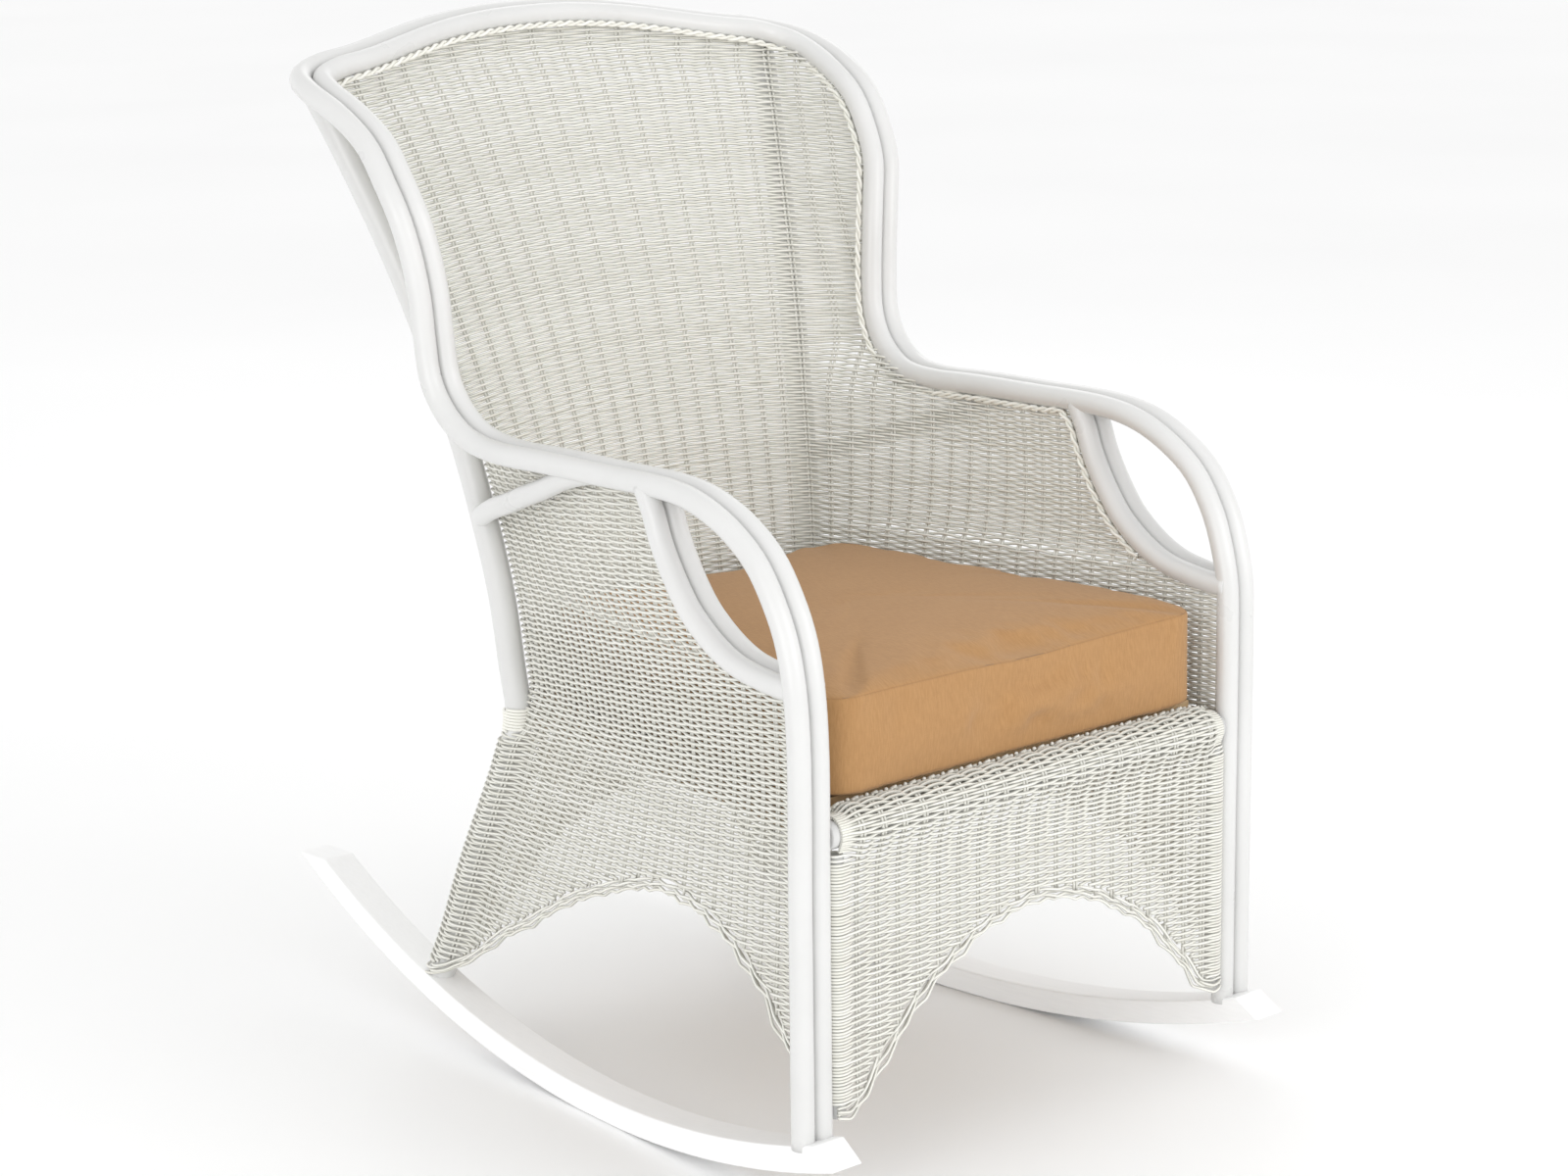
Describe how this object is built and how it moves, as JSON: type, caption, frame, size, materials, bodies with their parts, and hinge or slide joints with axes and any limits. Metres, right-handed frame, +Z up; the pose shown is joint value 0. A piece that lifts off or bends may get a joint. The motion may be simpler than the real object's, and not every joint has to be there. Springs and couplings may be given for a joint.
{
  "type": "wicker rocking chair",
  "caption": "Wing-back wicker rocking chair with a double-pole frame, open arm loops, woven sides and back, wooden rockers and a loose box cushion.",
  "frame": {"origin": "centre of the chair's footprint box, on the floor", "axes": "+Z up, the chair faces -Y, +X is the sitter's left"},
  "size_m": [0.6982, 0.934, 1.0556],
  "materials": {
    "paint": "satin",
    "rocker_paint": "matte",
    "weave": "satin",
    "timber": "matte",
    "canvas": "matte",
    "foam": "matte",
    "zip": "satin",
    "steel": "satin"
  },
  "bodies": {
    "chair": {"rocker_left": "rocker_paint", "rocker_right": "rocker_paint", "rocker_screw_front_inner_left": "steel", "rocker_screw_front_inner_right": "steel", "rocker_screw_front_outer_left": "steel", "rocker_screw_front_outer_right": "steel", "rocker_screw_rear_left": "steel", "rocker_screw_rear_right": "steel", "outer_side_pole_left": "paint", "outer_side_pole_right": "paint", "inner_side_pole_left": "paint", "inner_side_pole_right": "paint", "arm_loop_outer_left": "paint", "arm_loop_outer_right": "paint", "arm_loop_inner_left": "paint", "arm_loop_inner_right": "paint", "back_post_left": "paint", "back_post_right": "paint", "arm_brace_left": "paint", "arm_brace_right": "paint", "apron_pole_left": "paint", "apron_pole_right": "paint", "outer_crest_pole": "paint", "inner_crest_pole": "paint", "seat_rail_front": "paint", "seat_rail_side_left": "timber", "seat_rail_side_right": "timber", "seat_rail_rear": "timber", "seat_slat_1": "timber", "seat_slat_2": "timber", "seat_slat_3": "timber", "seat_slat_4": "timber", "seat_slat_5": "timber", "seat_slat_6": "timber", "apron_pole_wrap_left": "weave", "apron_pole_wrap_right": "weave", "post_wrap_left": "weave", "post_wrap_right": "weave", "post_binding_left": "weave", "post_binding_right": "weave", "side_weave_left": "weave", "side_weave_right": "weave", "side_braid_left": "weave", "side_braid_right": "weave", "apron_roll": "weave", "apron_weave": "weave", "back_weave": "weave", "crest_braid": "weave"},
    "cushion": {"cushion_cover": "canvas", "cushion_foam": "foam", "cushion_zip": "zip"}
  },
  "joints": [
    {"name": "cushion_lift", "type": "slide", "parent": "chair", "child": "cushion", "axis": [0, 0, 1], "range_m": [0, 0.3]}
  ]
}
